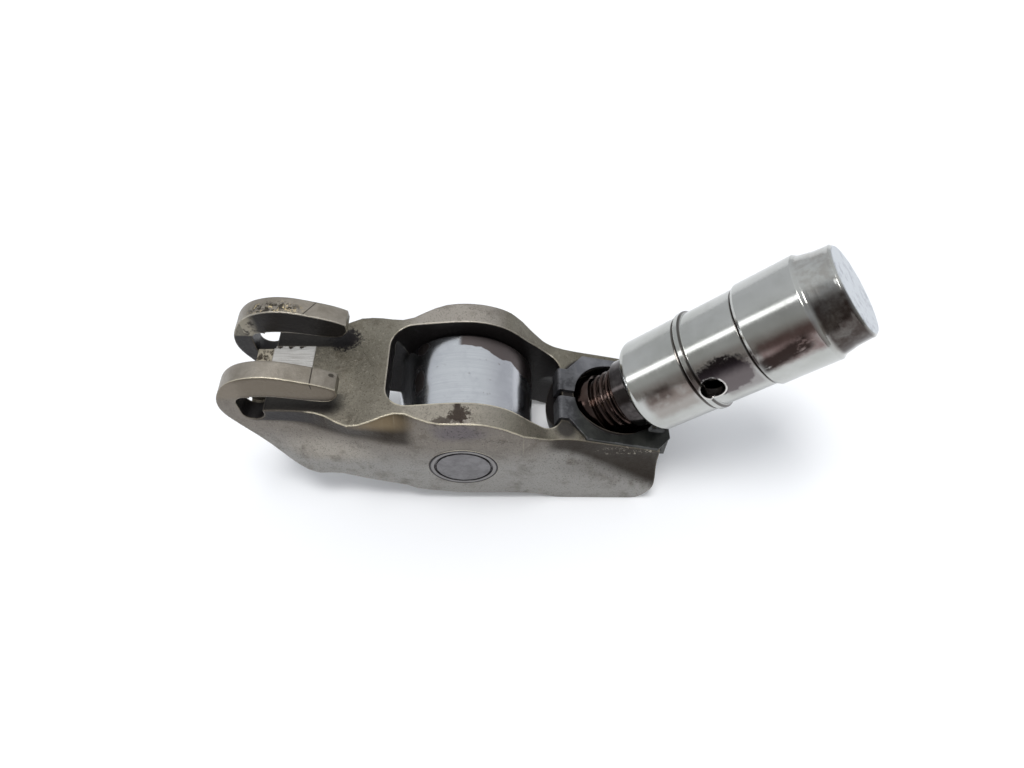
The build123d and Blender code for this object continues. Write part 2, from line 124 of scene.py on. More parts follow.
class Finish(Net):
    """Node tree of one material, with the part's millimetres as its coordinates."""

    def __init__(self, name):
        self.material = bpy.data.materials.new(name)
        self.material.use_nodes = True
        super().__init__(self.material.node_tree)
        metres = self.node("ShaderNodeTexCoord").outputs["Object"]
        self.mm = self.vmath("MULTIPLY", metres, (1 / MM,) * 3)
        sep = self.node("ShaderNodeSeparateXYZ")
        self.link(self.mm, sep.inputs[0])
        self.x, self.y, self.z = sep.outputs[0], sep.outputs[1], sep.outputs[2]

    def vmath(self, operation, a, b):
        n = self.node("ShaderNodeVectorMath", operation=operation)
        self.put(n.inputs[0], a)
        self.put(n.inputs[1], b)
        return n.outputs["Value" if operation in ("DOT_PRODUCT", "DISTANCE") else "Vector"]

    def noise(self, scale, detail, rough, seed, distort=0.0, vector=None):
        """Noise from 0 to 1. The scale is per millimetre."""
        n = self.node("ShaderNodeTexNoise", noise_dimensions="4D")
        self.put(n.inputs["Vector"], vector if vector is not None else self.mm)
        n.inputs["W"].default_value = seed
        n.inputs["Scale"].default_value = scale
        n.inputs["Detail"].default_value = detail
        n.inputs["Roughness"].default_value = rough
        n.inputs["Distortion"].default_value = distort
        return n.outputs["Fac"]

    def flecks(self, low, high, *grain, **options):
        """Noise cut into flecks: it takes the settings of noise after its two limits."""
        return self.ramp(self.noise(*grain, **options), low, high)

    def wobble(self, noise, amount):
        """Noise centred on nought, which makes an outline uneven."""
        return self.times(self.math("SUBTRACT", noise, 0.5), amount)

    def spot(self, centre, size, soft, wobble=None):
        """1 inside an ellipsoid, 0 outside. It fades over the share soft of its size."""
        v = self.vmath("DIVIDE", self.vmath("SUBTRACT", self.mm, centre), size)
        n = self.node("ShaderNodeVectorMath", operation="LENGTH")
        self.link(v, n.inputs[0])
        radius = n.outputs["Value"]
        if wobble is not None:
            radius = self.math("ADD", radius, wobble)
        return self.ramp(radius, 1.0 - soft, 1.0 + soft, 1.0, 0.0)

    def turned(self, along, angle, lengthwise, around):
        """Vector whose noise gives rings round a turned piece, or streaks along it."""
        n = self.node("ShaderNodeCombineXYZ")
        self.put(n.inputs[0], self.math("MULTIPLY", along, lengthwise))
        self.put(n.inputs[1], self.math("MULTIPLY", self.math("SINE", angle), around))
        self.put(n.inputs[2], self.math("MULTIPLY", self.math("COSINE", angle), around))
        return n.outputs[0]

    def bevel(self, radius):
        """Normal with the sharp edges rounded."""
        n = self.node("ShaderNodeBevel", samples=6)
        n.inputs["Radius"].default_value = radius * MM
        return n.outputs[0]

    def edge(self, rounded, gain):
        """1 along the edges that a bevel rounds, 0 on flats."""
        plain = self.node("ShaderNodeNewGeometry").outputs["Normal"]
        turn = self.math("SUBTRACT", 1.0, self.vmath("DOT_PRODUCT", rounded, plain))
        return self.math("MULTIPLY", turn, gain, clamp=True)

    def bump(self, height, depth, strength, normal=None):
        n = self.node("ShaderNodeBump")
        n.inputs["Strength"].default_value = strength
        n.inputs["Distance"].default_value = depth * MM
        self.put(n.inputs["Height"], height)
        if normal is not None:
            self.link(normal, n.inputs["Normal"])
        return n.outputs["Normal"]

    def surface(self, colour, rough, metallic, normal, specular=0.5):
        n = self.node("ShaderNodeBsdfPrincipled")
        self.put(n.inputs["Base Color"], colour)
        self.put(n.inputs["Roughness"], rough)
        self.put(n.inputs["Metallic"], metallic)
        n.inputs["Specular IOR Level"].default_value = specular
        self.link(normal, n.inputs["Normal"])
        return n.outputs[0]

    def output(self, shader):
        self.link(shader, self.node("ShaderNodeOutputMaterial").inputs[0])
        return self.material


# ---- Arm -------------------------------------------------------------------
# The masks below are products of ramps and bands. Their pairs of numbers say where a
# mask starts and where it is full, in millimetres, or as a share of a noise or normal.
# Besides the steel's own colours, some entries here are painted light: the lit belly and the edge
# highlights.
STEEL = {
    "web": ((0.140, 0.128, 0.100), (0.205, 0.190, 0.154)),
    "web_near": (0.310, 0.285, 0.235),
    "crown": (0.345, 0.318, 0.285),
    "wall": ((0.195, 0.174, 0.150), (0.280, 0.272, 0.256)),
    "belly": (0.375, 0.345, 0.300),
    "pad": ((0.57, 0.565, 0.55), (0.40, 0.39, 0.375)),
    "ear_top": ((0.215, 0.190, 0.158), (0.345, 0.315, 0.275)),
    "ear_side": (0.205, 0.172, 0.130),
    "worn_gold_glints": (0.66, 0.54, 0.33),
    "edge_highlight_dull": (0.42, 0.37, 0.29),
    "edge_highlight_pale": (0.66, 0.62, 0.54),
    "edge_highlight_gold": (0.90, 0.83, 0.65),
}
# Besides dirt, this holds painted shade (the black in the recesses and the shade in the hollows)
# and a painted highlight on the near bulge.
DIRT = {
    "patches": (0.070, 0.056, 0.040),
    "dust": (0.46, 0.42, 0.36),
    "pores": (0.035, 0.028, 0.022),
    "shade_and_varnish_right": (0.022, 0.016, 0.011),
    "shade_and_varnish_left": (0.020, 0.014, 0.009),
    "bulge_highlight": (0.235, 0.180, 0.110),
    "pad_specks": (0.10, 0.08, 0.065),
    "pad_bites": (0.03, 0.024, 0.02),
    "web_end": ((0.43, 0.39, 0.31), (0.05, 0.04, 0.03)),
    "chips": (0.03, 0.025, 0.02),
    "hairline": (0.025, 0.020, 0.018),
    "caked_oil": (0.014, 0.012, 0.014),
    "burn": (0.105, 0.090, 0.108),
    "burn_flecks": (0.035, 0.028, 0.03),
    "streak": (0.060, 0.050, 0.044),
    "dark_spot": (0.030, 0.021, 0.017),
    "crust": (0.52, 0.48, 0.40),
    "oil_and_shade_black": (0.017, 0.015, 0.016),
    "seam": (0.045, 0.034, 0.024),
}
# Places of single marks: centre, size and softness.
SPOTS = {
    "belly": ((-15.0, -6.5, 1.8), (4.6, 2.5, 1.7), 0.6),
    "bulge_highlight": ((-8.6, -7.0, 7.9), (2.9, 1.4, 1.25), 0.6),
    "worn_ear": ((-20.3, 3.9, 13.6), (2.9, 0.85, 1.3), 0.4),
    "ear_pit": ((-13.2, -3.65, 11.8), (0.30, 0.24, 0.5), 0.3),
    "caked_oil": ((-13.5, 4.3, 7.9), (1.7, 1.6, 1.3), 0.25),
    "burn": ((0.0, -8.1, 7.6), (2.6, 1.2, 1.5), 0.5),
    "streak": ((3.9, -8.1, 5.7), (3.2, 1.0, 0.6), 0.5),
    "dark_spot": ((0.0, -6.95, 9.45), (1.10, 0.95, 0.9), 0.25),
    "dark_tip": ((-0.2, -5.9, 9.45), (0.35, 0.55, 0.6), 0.3),
    "dark_trail": ((-1.6, -7.6, 9.3), (1.2, 0.45, 0.8), 0.3),
    "crust": ((19.0, -6.4, 0.6), (3.6, 1.4, 0.8), 0.35),
    "oily_corner": ((11.6, -4.9, 3.2), (1.3, 1.2, 1.0), 0.4),
}
PAD_BITE_SIZE = (0.34, 0.36, 0.5)
EAR_FREE_END = (-12.4, -12.8)             # along X
EARS_ONLY = (9.7, 10.5)                   # above the web, along Z
HAIRLINES = (11.6, 12.0)                  # on the tops of the ears, along Z


def shell_masks(n):
    """Where a point of the arm lies: the way it faces and how far out it is."""
    facing = n.node("ShaderNodeSeparateXYZ")
    n.link(n.node("ShaderNodeNewGeometry").outputs["True Normal"], facing.inputs[0])
    n.up = facing.outputs[2]
    n.side_y = n.math("ABSOLUTE", n.y)
    n.outward = n.math("MULTIPLY", n.math("SIGN", n.y), facing.outputs[1])
    n.flank = n.ramp(n.outward, 0.35, 0.75)


def tempered_steel(n, cloud, mottle, fine, pores):
    """Olive brown web, and greyer walls painted lighter towards the table, as its painted
    reflection.
    """
    web = n.mix(*STEEL["web"], n.ramp(cloud, 0.36, 0.64))
    web = n.paint(web, STEEL["web_near"], n.ramp(n.y, 3.5, -6.5), 0.5)
    web = n.paint(web, STEEL["crown"], n.ramp(n.z, 7.9, 9.0), n.ramp(n.x, -8.5, -4.5),
                  n.ramp(n.y, -7.0, 5.5, 0.35, 0.9))
    # painted reflection of the white table: the walls get lighter towards it
    wall = n.mix(*STEEL["wall"], n.ramp(n.z, 5.5, -1.0))
    # painted light: a lighter patch where the left belly reflects the table
    wall = n.paint(wall, STEEL["belly"], n.spot(*SPOTS["belly"]), 0.8)
    col = n.mix(web, wall, n.flank)
    col = n.paint(col, DIRT["patches"], n.ramp(mottle, 0.48, 0.74), 0.55)
    col = n.paint(col, DIRT["dust"], n.ramp(fine, 0.52, 0.74), 0.42)
    return n.paint(col, DIRT["pores"], n.ramp(pores, 0.52, 0.68), 0.60)


def hollow_shade_and_varnish(n, col, mottle):
    """Painted shade, with some brown varnish, in the pressed hollows just below the web's edges,
    and a painted highlight on the near bulge.
    """
    # on the right its lower edge falls towards the adjuster
    edge_z = n.math("SUBTRACT", 1.6, n.times(n.math("SUBTRACT", n.x, 10.3), 0.56))
    right = n.times(n.ramp(n.math("SUBTRACT", n.z, edge_z), -0.8, 0.8), n.ramp(n.x, 8.6, 10.8),
                    n.flank)
    # painted shade in the right hollow, with some varnish
    col = n.paint(col, DIRT["shade_and_varnish_right"], right, n.blend(0.82, 1.0, mottle))
    # on the left it rises past x = -12
    past_nose = n.math("MAXIMUM", n.math("SUBTRACT", -12.0, n.x), 0.0)
    edge_z = n.math("ADD", n.times(past_nose, 0.17), 4.5)
    left = n.times(n.ramp(n.math("SUBTRACT", n.z, edge_z), -0.8, 0.7),
                   n.band(n.x, -22.5, -5.4, 0.9), n.ramp(n.outward, 0.15, 0.5))
    # painted shade in the left hollow, with some varnish
    col = n.paint(col, DIRT["shade_and_varnish_left"], left, n.blend(0.75, 1.0, mottle))
    # painted gold-brown highlight on the bulge of the near wall
    return n.paint(col, DIRT["bulge_highlight"], n.spot(*SPOTS["bulge_highlight"]), n.flank,
                   n.blend(0.6, 0.95, mottle))


def valve_pad(n, col):
    """Ground pad between the ears, and the dirty end of the web beside it."""
    pad = n.times(n.band(n.x, -21.4, -16.7, 0.06), n.ramp(n.side_y, 3.22, 3.1),
                  n.ramp(n.z, 7.6, 7.8))
    grinding = n.vmath("MULTIPLY", n.mm, (0.35, 9.0, 1.0))
    pad_col = n.mix(*STEEL["pad"], n.flecks(0.42, 0.66, 1.0, 4, 0.6, seed=3.0, vector=grinding))
    pad_col = n.paint(pad_col, DIRT["pad_specks"], n.flecks(0.69, 0.73, 1.7, 3, 0.7, seed=6.4))
    bitten = n.wobble(n.noise(1.9, 3, 0.7, seed=41.0), 2.5)
    for x in (-20.8, -19.5, -18.2):
        bite = n.spot((x, 3.2, 7.85), PAD_BITE_SIZE, 0.3, bitten)
        pad_col = n.paint(pad_col, DIRT["pad_bites"], bite)
    col = n.paint(col, pad_col, pad)
    end = n.times(n.band(n.x, -24.2, -21.45, 0.06), n.ramp(n.side_y, 3.3, 3.15),
                  n.ramp(n.z, 6.0, 6.8))
    end_col = n.mix(*DIRT["web_end"], n.flecks(0.50, 0.60, 1.1, 5, 0.75, seed=9.9))
    return n.paint(col, end_col, end, 0.95), n.most(pad, end)


def ear_marks(n, col, mottle):
    """Worn flecks with painted gold glints, hairline marks, a pit and caked oil on the two guide
    ears.
    """
    tops = n.times(n.ramp(n.z, 9.8, 11.2), n.ramp(n.up, 0.3, 0.6), n.ramp(n.x, *EAR_FREE_END))
    col = n.paint(col, n.mix(*STEEL["ear_top"], n.ramp(mottle, 0.3, 0.7)), tops, 0.8)
    sides = n.times(n.ramp(n.z, 9.3, 10.6), n.flank, n.ramp(n.x, *EAR_FREE_END))
    col = n.paint(col, STEEL["ear_side"], sides, 0.7)
    worn = n.spot(*SPOTS["worn_ear"])
    chips = n.flecks(0.48, 0.54, 1.9, 4, 0.8, seed=17.0)
    gold = n.flecks(0.55, 0.59, 1.7, 4, 0.8, seed=12.0)
    col = n.paint(col, DIRT["chips"], worn, chips, 0.9)
    # worn flecks, painted as gold glints
    col = n.paint(col, STEEL["worn_gold_glints"], worn, gold, 0.9)
    # one hairline runs straight across the near ear, and one slants across the far ear
    near = n.times(n.band(n.x, -15.12, -15.0, 0.03), n.ramp(n.y, -3.0, -3.2),
                   n.ramp(n.z, *HAIRLINES))
    slant = n.math("ADD", n.x, n.times(n.math("SUBTRACT", n.y, 3.2), -0.57))
    far = n.times(n.band(slant, -17.16, -17.04, 0.03), n.ramp(n.y, 3.0, 3.2),
                  n.ramp(n.z, *HAIRLINES))
    col = n.paint(col, DIRT["hairline"], n.math("ADD", near, far, clamp=True), 0.85)
    ragged = n.wobble(n.noise(2.4, 4, 0.8, seed=61.0), 2.6)
    col = n.paint(col, DIRT["chips"], n.spot(*SPOTS["ear_pit"], ragged), 0.8)
    return n.paint(col, DIRT["caked_oil"], n.spot(*SPOTS["caked_oil"], ragged), 0.95)


def hump_marks(n, col, mottle):
    """Burnt patch and dark spot on the near hump, and pale crust under the clip."""
    uneven = n.wobble(mottle, 1.6)
    flecks = n.flecks(0.54, 0.60, 2.6, 4, 0.8, seed=44.0)
    burn = n.spot(*SPOTS["burn"], uneven)
    col = n.paint(col, DIRT["burn"], burn, 0.65)
    col = n.paint(col, DIRT["burn_flecks"], burn, flecks, 0.75)
    col = n.paint(col, DIRT["streak"], n.spot(*SPOTS["streak"], uneven), flecks, 0.7)
    ragged = n.wobble(n.noise(1.8, 5, 0.8, seed=21.0), 3.6)
    spot = n.most(n.spot(*SPOTS["dark_spot"], ragged), n.spot(*SPOTS["dark_tip"]),
                  n.times(n.spot(*SPOTS["dark_trail"], ragged), 0.8))
    col = n.paint(col, DIRT["dark_spot"], spot, 0.93)
    return n.paint(col, DIRT["crust"], n.spot(*SPOTS["crust"]),
                   n.flecks(0.55, 0.60, 2.8, 4, 0.8, seed=5.5), 0.85)


def edge_highlights(n, col, edge, wide_edge):
    """Painted highlights along the trimmed top edges, and a dark line along the wide rounded
    edges below them.
    """
    seam = n.times(wide_edge, n.flank, n.ramp(n.z, 2.4, 4.0), n.ramp(n.x, -23.5, -22.0))
    col = n.paint(col, DIRT["seam"], seam, 0.8)
    top_edge = n.times(edge, n.ramp(n.up, -0.3, 0.0))
    broken = n.flecks(0.34, 0.52, 0.9, 4, 0.75, seed=31.0)
    near_web = n.times(n.ramp(n.y, -4.4, -4.9), n.ramp(n.z, 2.6, 3.6), n.ramp(n.z, 9.8, 9.5),
                       n.ramp(n.x, -17.0, -16.0), n.ramp(n.x, 11.0, 4.0, 0.35, 1.0),
                       n.blend(0.55, 1.0, broken))
    near_ear = n.times(n.ramp(n.y, -5.0, -5.25), n.ramp(n.z, *EARS_ONLY),
                       n.ramp(n.up, 0.2, 0.5), n.ramp(n.x, -24.5, -21.5),
                       n.blend(0.45, 1.0, broken))
    far_ear = n.times(n.band(n.y, 2.9, 3.6, 0.1), n.ramp(n.z, *EARS_ONLY),
                      n.blend(0.4, 0.9, broken))
    window = n.times(n.band(n.side_y, 4.8, 5.8, 0.1), n.band(n.x, -9.0, 11.9, 0.2),
                     n.ramp(n.z, 2.5, 3.5), n.blend(0.25, 0.8, broken))
    window_left = n.times(n.band(n.x, -8.6, -7.9, 0.1), n.ramp(n.side_y, 5.6, 5.0), 0.55)
    # painted highlights along the top edges: dull everywhere, pale on the far ear and window,
    # gold on the near web and near ear
    col = n.paint(col, STEEL["edge_highlight_dull"], top_edge, 0.30)
    col = n.paint(col, STEEL["edge_highlight_pale"], top_edge, n.most(far_ear, window, window_left))
    return n.paint(col, STEEL["edge_highlight_gold"], top_edge, n.most(near_web, near_ear))


def oil_and_painted_shade(n, mottle):
    """Black painted in the channel, window, slits, relief holes and socket: partly oil, partly
    painted shade in these recesses and on faces turned inwards or down.
    """
    facing_in = n.ramp(n.outward, -0.25, -0.7)
    channel = n.times(facing_in, n.ramp(n.z, 9.9, 9.6))
    window = n.times(n.ramp(n.side_y, 5.75, 5.6), n.band(n.x, -8.6, 11.9, 0.2),
                     n.ramp(n.up, 0.6, 0.3))
    under_web = n.times(n.ramp(n.up, -0.2, -0.5), n.ramp(n.side_y, 5.8, 5.6))
    ear_inside = n.times(facing_in, n.ramp(n.x, -12.0, -12.6), n.ramp(n.side_y, 3.6, 3.3),
                         n.ramp(n.x, -23.4, -22.2))
    slit_floor = n.times(n.band(n.x, -22.6, -13.4, 0.8), n.band(n.z, 5.8, 9.0, 0.2),
                         n.ramp(n.up, 0.5, 0.2, 0.9, 1.0), n.ramp(n.side_y, 3.15, 3.3),
                         n.ramp(n.side_y, 6.3, 5.3))
    slit_roof = n.times(n.band(n.x, -23.6, -12.6, 0.3), n.band(n.z, 7.8, 12.2, 0.2),
                        n.ramp(n.up, -0.3, -0.6), n.ramp(n.side_y, 5.5, 5.3))
    relief = n.times(n.band(n.x, -23.75, -20.9, 0.1), n.band(n.z, 5.9, 10.3, 0.1),
                     n.ramp(n.outward, 0.5, 0.2), n.band(n.side_y, 3.25, 5.3, 0.05))
    from_ball = n.vmath("DISTANCE", n.mm, tuple(BALL))
    socket = n.times(n.ramp(from_ball, 6.6, 6.2), n.ramp(n.side_y, 5.5, 5.3))
    corner = n.times(n.spot(*SPOTS["oily_corner"]), 0.9)
    black = n.most(channel, window, under_web, ear_inside, slit_floor, slit_roof, relief,
                   socket, corner)
    return n.times(black, n.blend(0.93, 1.0, mottle))


def arm_material():
    """Tempered steel under varnish, oil, painted shade and painted highlights, from the general
    to the particular.
    """
    n = Finish("tempered_arm")
    shell_masks(n)
    cloud = n.noise(0.11, 4, 0.6, seed=1.3)
    mottle = n.noise(0.45, 5, 0.65, seed=4.1, distort=0.4)
    fine = n.noise(3.2, 5, 0.7, seed=8.7)
    pores = n.noise(6.5, 3, 0.7, seed=2.2)
    rounded = n.bevel(0.28)
    black = oil_and_painted_shade(n, mottle)
    col = tempered_steel(n, cloud, mottle, fine, pores)
    col = hollow_shade_and_varnish(n, col, mottle)
    col, pad = valve_pad(n, col)
    col = ear_marks(n, col, mottle)
    col = hump_marks(n, col, mottle)
    # black: partly oil, partly painted shade in the recesses
    col = n.paint(col, DIRT["oil_and_shade_black"], black)
    col = edge_highlights(n, col, n.edge(rounded, 9.0), n.edge(n.bevel(0.9), 5.0))
    rough = n.blend(0.36, 0.50, n.ramp(fine, 0.3, 0.7))
    rough = n.blend(n.blend(rough, 0.42, pad), 0.30, black)
    metal = n.blend(n.blend(0.85, 0.35, pad), 0.3, black)
    height = n.math("ADD", n.times(pores, 0.5), n.math("ADD", fine, n.times(mottle, 1.4)))
    normal = n.bump(height, 0.045, 0.8, rounded)
    return n.output(n.surface(col, rough, metal, normal, specular=0.22))


# ---- Adjuster --------------------------------------------------------------
# A place on the adjuster is t, in millimetres from the ball along AXIS, and an angle
# round AXIS: 0 is the side that faces the table, and -90 degrees the camera's side.
OIL = {
    "film": (0.165, 0.140, 0.128),
    "warm_film": (0.250, 0.210, 0.185),
    "smudge": (0.075, 0.055, 0.048),
    "hole_patch": (0.018, 0.013, 0.016),
    "veil": (0.19, 0.165, 0.165),
    "brown": (0.200, 0.145, 0.135),
    "black": (0.024, 0.016, 0.014),
    "ring": (0.045, 0.034, 0.030),
    "haze": (0.30, 0.275, 0.245),
    "tail": (0.060, 0.048, 0.043),
    "grooves": (0.045, 0.035, 0.030),
    "foot_mark": (0.16, 0.16, 0.18),
    "neck": (0.060, 0.040, 0.034),
    "shank": (0.030, 0.026, 0.026),
}
# Stains: low, high and fade in degrees round the adjuster, then the same in t.
STAINS = {
    "film": ((-130, -112, 5), (8.6, 27.3, 0.6)),       # all along the adjuster
    "warm_film": ((-134, -96, 6), (8.6, 13.9, 0.6)),
    "smudge": ((-135, -120, 4), (8.9, 12.0, 0.6)),
    "veil": ((-118, -84, 8), (16.6, 20.6, 0.3)),       # beside the side hole
    "brown": ((-134, -101, 5), (21.9, 27.5, 0.35)),    # on the widest land
    "black": ((-120, -103, 4), (21.1, 26.6, 0.6)),
    "wedge": ((-133, -110, 5), (21.0, 21.3, 0.15)),    # where the black starts
    "ring": ((-140, -114, 5), (13.9, 15.1, 0.15)),     # between two ring grooves
    "tail": ((-150, -66, 8), (27.9, 31.0, 0.25)),
}
RING_GROOVES = ((13.93, 14.3, 0.05), (20.75, 21.05, 0.07), (14.83, 15.02, 0.05))
SIDE_HOLE_RIM = (1.22, 1.42, 0.05)                     # from the hole's axis
SIDE_HOLE_LAND = (15.0, 20.75, 0.08)
GLINTS = (-143, -131, 2)                               # degrees round the adjuster
PATCH_T, PATCH_ANGLE = 17.6, math.radians(-114.0)      # middle of the oil by the side hole
PATCH_LENGTH, PATCH_TURN = 2.75, 0.40                  # its half size, in t and radians
BLACK_T, BLACK_SLANT = 23.5, math.radians(-1.6)        # the black slants by this per t
FOOT_FACE = (31.02, 31.08)
FOOT_STEEL = ((0.66, 0.69, 0.72), (0.50, 0.52, 0.56))
FOOT_MARK = ((37.4, -0.6, 22.1), (2.2, 1.0, 2.2), 0.3)
HOLE_RIM_STEEL, EDGE_WEAR_AND_HIGHLIGHT = (0.62, 0.60, 0.57), (0.80, 0.80, 0.78)


def housing_stains(n, t, angle, col, rough):
    """Black oil by the side hole, baked smears on the lands and tail, and fine wear."""
    uneven = n.wobble(n.noise(0.9, 5, 0.75, seed=14.0), 1.5)
    front = n.math("ADD", angle, n.times(uneven, 0.10))
    blotch = n.noise(0.55, 4, 0.65, seed=15.0)
    blotches = n.ramp(blotch, 0.3, 0.6)

    def turn_band(around, limits):
        return n.band(around, *(math.radians(limit) for limit in limits))

    def stain(name, around=front):
        turn_limits, t_limits = STAINS[name]
        return n.times(turn_band(around, turn_limits), n.band(t, *t_limits))

    col = n.paint(col, OIL["film"], stain("film"), n.blend(0.45, 0.95, blotches))
    col = n.paint(col, OIL["warm_film"], stain("warm_film"),
                  n.ramp(blotch, 0.30, 0.50, 0.25, 1.0), 0.6)
    col = n.paint(col, OIL["smudge"], stain("smudge"),
                  n.ramp(blotch, 0.30, 0.50, 0.35, 1.0), 0.8)
    # oil that ran round the side hole, with bare glints along its upper edge
    along = n.math("DIVIDE", n.math("SUBTRACT", t, PATCH_T), PATCH_LENGTH)
    around = n.math("DIVIDE", n.math("SUBTRACT", angle, PATCH_ANGLE), PATCH_TURN)
    radius = n.math("SQRT", n.math("ADD", n.times(along, along), n.times(around, around)))
    patch = n.times(n.ramp(n.math("ADD", radius, n.times(uneven, 0.8)), 1.12, 0.90),
                    n.band(t, *SIDE_HOLE_LAND))
    glints = n.times(n.flecks(0.60, 0.63, 2.6, 4, 0.8, seed=71.0), turn_band(angle, GLINTS))
    col = n.paint(col, OIL["hole_patch"], patch, n.math("SUBTRACT", 1.0, glints), 0.97)
    col = n.paint(col, OIL["veil"], stain("veil"), 0.65)
    rough = n.blend(rough, 0.22, patch)
    # brown and black smear on the widest land
    col = n.paint(col, OIL["brown"], stain("brown"), n.blend(0.7, 1.0, blotches))
    slanted = n.math("SUBTRACT", front, n.times(n.math("SUBTRACT", t, BLACK_T), BLACK_SLANT))
    black = n.most(stain("black", slanted), stain("wedge"))
    streaks = n.flecks(0.30, 0.45, 0.9, 4, 0.7, seed=27.0, vector=n.turned(t, angle, 0.5, 6.0))
    col = n.paint(col, OIL["black"], black, streaks, 0.95)
    col = n.paint(col, OIL["ring"], stain("ring"), 0.75)
    # baked tail, and oil left in the ring grooves
    haze = n.times(n.ramp(t, 27.4, 27.9), n.ramp(t, 31.0, 30.9))
    col = n.paint(col, OIL["haze"], haze, n.flecks(0.4, 0.6, 0.5, 3, 0.6, seed=19.0), 0.5)
    col = n.paint(col, OIL["tail"], stain("tail"), n.blend(0.75, 1.0, blotches))
    first, second, third = (n.band(t, *groove) for groove in RING_GROOVES)
    grooves = n.most(n.math("ADD", first, second, clamp=True), third)
    col = n.paint(col, OIL["grooves"], grooves, 0.85)
    # bright rim of the side hole
    toward = n.vmath("SUBTRACT", n.mm, HOLE_MOUTH)
    depth = n.vmath("DOT_PRODUCT", toward, HOLE_DIR)
    length2 = n.vmath("DOT_PRODUCT", toward, toward)
    radius = n.math("SQRT", n.math("SUBTRACT", length2, n.times(depth, depth)))
    col = n.paint(col, HOLE_RIM_STEEL, n.band(radius, *SIDE_HOLE_RIM),
                  n.flecks(0.3, 0.5, 0.8, 3, 0.6, seed=83.0))
    # ground foot face with scuffs and a short dark mark
    foot = n.ramp(t, *FOOT_FACE)
    foot_col = n.mix(*FOOT_STEEL, n.flecks(0.50, 0.62, 0.9, 4, 0.7, seed=23.0))
    lines = n.flecks(0.60, 0.63, 0.8, 3, 0.7, seed=33.0, vector=n.turned(t, angle, 0.1, 3.0))
    foot_col = n.paint(foot_col, OIL["foot_mark"], lines, n.spot(*FOOT_MARK))
    return n.paint(col, foot_col, foot), n.blend(rough, 0.42, foot)


def plunger_stains(n, t, angle, col, rough):
    """Old oil: nearly black on the ball and neck, thinner on the shank."""
    film = n.flecks(0.3, 0.62, 0.6, 5, 0.7, seed=18.0)
    col = n.paint(col, OIL["neck"], n.ramp(t, 5.6, 4.2), n.blend(0.8, 1.0, film))
    col = n.paint(col, OIL["shank"], n.ramp(t, 4.6, 5.0), n.blend(0.55, 0.92, film))
    return col, n.blend(rough, 0.13, 0.6)


def adjuster_material(name, colours, gloss, stains):
    """Turned and polished steel, under the stains of its own piece."""
    n = Finish(name)
    from_ball = n.vmath("SUBTRACT", n.mm, tuple(BALL))
    t = n.vmath("DOT_PRODUCT", from_ball, tuple(AXIS))
    angle = n.math("ARCTAN2", n.y, n.vmath("DOT_PRODUCT", from_ball, tuple(DOWN)))
    col = n.mix(*colours, n.flecks(0.35, 0.7, 0.22, 4, 0.6, seed=2.5))
    rings = n.noise(1.0, 3, 0.6, seed=1.0, vector=n.turned(t, angle, 9.0, 0.5))
    rough = n.blend(*gloss, n.ramp(rings, 0.35, 0.65))
    rounded = n.bevel(0.12)
    # edges painted lighter: partly wear, partly painted highlight
    col = n.paint(col, EDGE_WEAR_AND_HIGHLIGHT, n.edge(rounded, 5.0), 0.35)
    col, rough = stains(n, t, angle, col, rough)
    pores = n.noise(5.0, 3, 0.6, seed=7.0)
    height = n.math("ADD", n.times(rings, 0.6), n.times(pores, 0.35))
    return n.output(n.surface(col, rough, 1.0, n.bump(height, 0.010, 0.6, rounded)))


# ---- Roller, axle, clip and inner pieces -----------------------------------
ROLLER = {
    "steel": ((0.575, 0.593, 0.618), (0.620, 0.637, 0.662)),
    "cloud": (0.500, 0.515, 0.545),
    "shade": (0.40, 0.40, 0.425),
    "pits": (0.16, 0.14, 0.13),
    "far_oil": (0.105, 0.082, 0.076),
    "near_oil": (0.10, 0.08, 0.065),
    "side_oil": (0.10, 0.09, 0.085),
}
RIM_OIL_AND_SHADE_BLOTS = (((-4.7, 3.9, 6.3), (0.9, 0.8, 0.9), 0.2), ((-4.9, -0.6, 6.2), (0.75, 1.5, 0.8), 0.2))
AXLE = {
    "steel": ((0.205, 0.200, 0.205), (0.150, 0.145, 0.150)),
    "groove": (0.022, 0.016, 0.016),
    "rim": (0.26, 0.25, 0.24),
    "seam": (0.016, 0.013, 0.014),
}
CLIP = {
    "lit_far_arm": ((0.115, 0.117, 0.128), (0.185, 0.187, 0.200)),
    "shaded_near_arm": ((0.024, 0.025, 0.024), (0.050, 0.052, 0.048)),
    "left": ((0.034, 0.034, 0.038), (0.095, 0.096, 0.103)),
    "edge": (0.26, 0.26, 0.28),
    "bend_highlight": (0.16, 0.16, 0.17),
}
INNER = {"steel": ((0.42, 0.42, 0.42), (0.28, 0.27, 0.26)), "oil": (0.12, 0.09, 0.06)}


